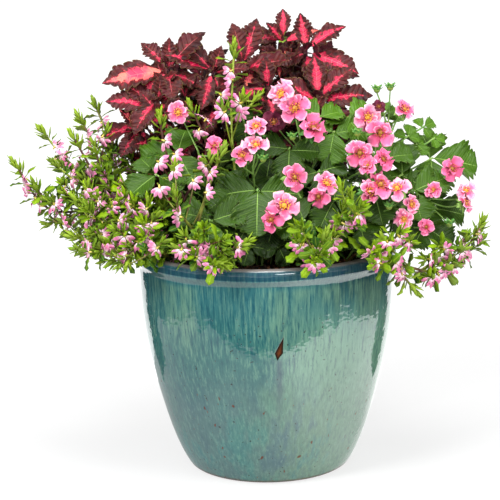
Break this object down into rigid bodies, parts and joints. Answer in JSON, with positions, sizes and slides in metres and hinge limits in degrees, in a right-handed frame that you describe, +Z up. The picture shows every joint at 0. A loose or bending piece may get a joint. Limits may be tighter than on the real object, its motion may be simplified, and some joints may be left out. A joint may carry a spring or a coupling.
{
  "type": "potted fan flower",
  "caption": "Round glazed pot filled with potting mix and planted with fan flower, pink-flowered strawberry and coleus, standing on its flat foot, with drain holes under it.",
  "frame": {"origin": "middle of the pot's flat foot, on the surface that the pot stands on", "axes": "+Z up from the foot to the plants, -Y towards the side seen first, +X to that side's right"},
  "size_m": [0.5676, 0.3734, 0.5489],
  "materials": {
    "glaze": "gloss",
    "potting_mix": "matte",
    "coleus_leaf": "satin",
    "strawberry_leaf": "satin",
    "strawberry_stem": "satin",
    "pink_petal": "matte",
    "fan_flower_leaf": "satin"
  },
  "bodies": {
    "root": {"pot": "glaze", "potting_mix": "potting_mix", "coleus_shoot_01": "coleus_leaf", "coleus_shoot_02": "coleus_leaf", "coleus_shoot_03": "coleus_leaf", "coleus_shoot_04": "coleus_leaf", "coleus_shoot_05": "coleus_leaf", "coleus_shoot_06": "coleus_leaf", "coleus_shoot_07": "coleus_leaf", "coleus_shoot_08": "coleus_leaf", "coleus_shoot_09": "coleus_leaf", "coleus_shoot_10": "coleus_leaf", "coleus_shoot_11": "coleus_leaf", "fan_flower_stem_01": "fan_flower_leaf", "fan_flower_stem_02": "fan_flower_leaf", "fan_flower_stem_03": "fan_flower_leaf", "fan_flower_stem_04": "fan_flower_leaf", "fan_flower_stem_05": "fan_flower_leaf", "fan_flower_stem_06": "fan_flower_leaf", "fan_flower_stem_07": "fan_flower_leaf", "fan_flower_stem_08": "fan_flower_leaf", "fan_flower_stem_09": "fan_flower_leaf", "fan_flower_stem_10": "fan_flower_leaf", "fan_flower_stem_11": "fan_flower_leaf", "fan_flower_stem_12": "fan_flower_leaf", "fan_flower_stem_13": "fan_flower_leaf", "strawberry_leaf_01": "strawberry_leaf", "strawberry_leaf_02": "strawberry_leaf", "strawberry_leaf_03": "strawberry_leaf", "strawberry_leaf_04": "strawberry_leaf", "strawberry_leaf_05": "strawberry_leaf", "strawberry_leaf_06": "strawberry_leaf", "strawberry_leaf_07": "strawberry_leaf", "strawberry_leaf_08": "strawberry_leaf", "strawberry_leaf_09": "strawberry_leaf", "strawberry_leaf_10": "strawberry_leaf", "strawberry_leaf_11": "strawberry_leaf", "strawberry_leaf_12": "strawberry_leaf", "strawberry_leaf_13": "strawberry_leaf", "strawberry_stalk_01": "strawberry_stem", "strawberry_stalk_02": "strawberry_stem", "strawberry_stalk_03": "strawberry_stem", "strawberry_stalk_04": "strawberry_stem", "strawberry_stalk_05": "strawberry_stem", "strawberry_stalk_06": "strawberry_stem", "strawberry_stalk_07": "strawberry_stem", "strawberry_stalk_08": "strawberry_stem", "strawberry_stalk_09": "strawberry_stem", "strawberry_bloom_01": "pink_petal", "strawberry_bloom_02": "pink_petal", "strawberry_bloom_03": "pink_petal", "strawberry_bloom_04": "pink_petal", "strawberry_bloom_05": "pink_petal", "strawberry_bloom_06": "pink_petal", "strawberry_bloom_07": "pink_petal", "strawberry_bloom_08": "pink_petal", "strawberry_bloom_09": "pink_petal", "strawberry_bloom_10": "pink_petal", "strawberry_bloom_11": "pink_petal", "strawberry_bloom_12": "pink_petal"}
  },
  "joints": []
}
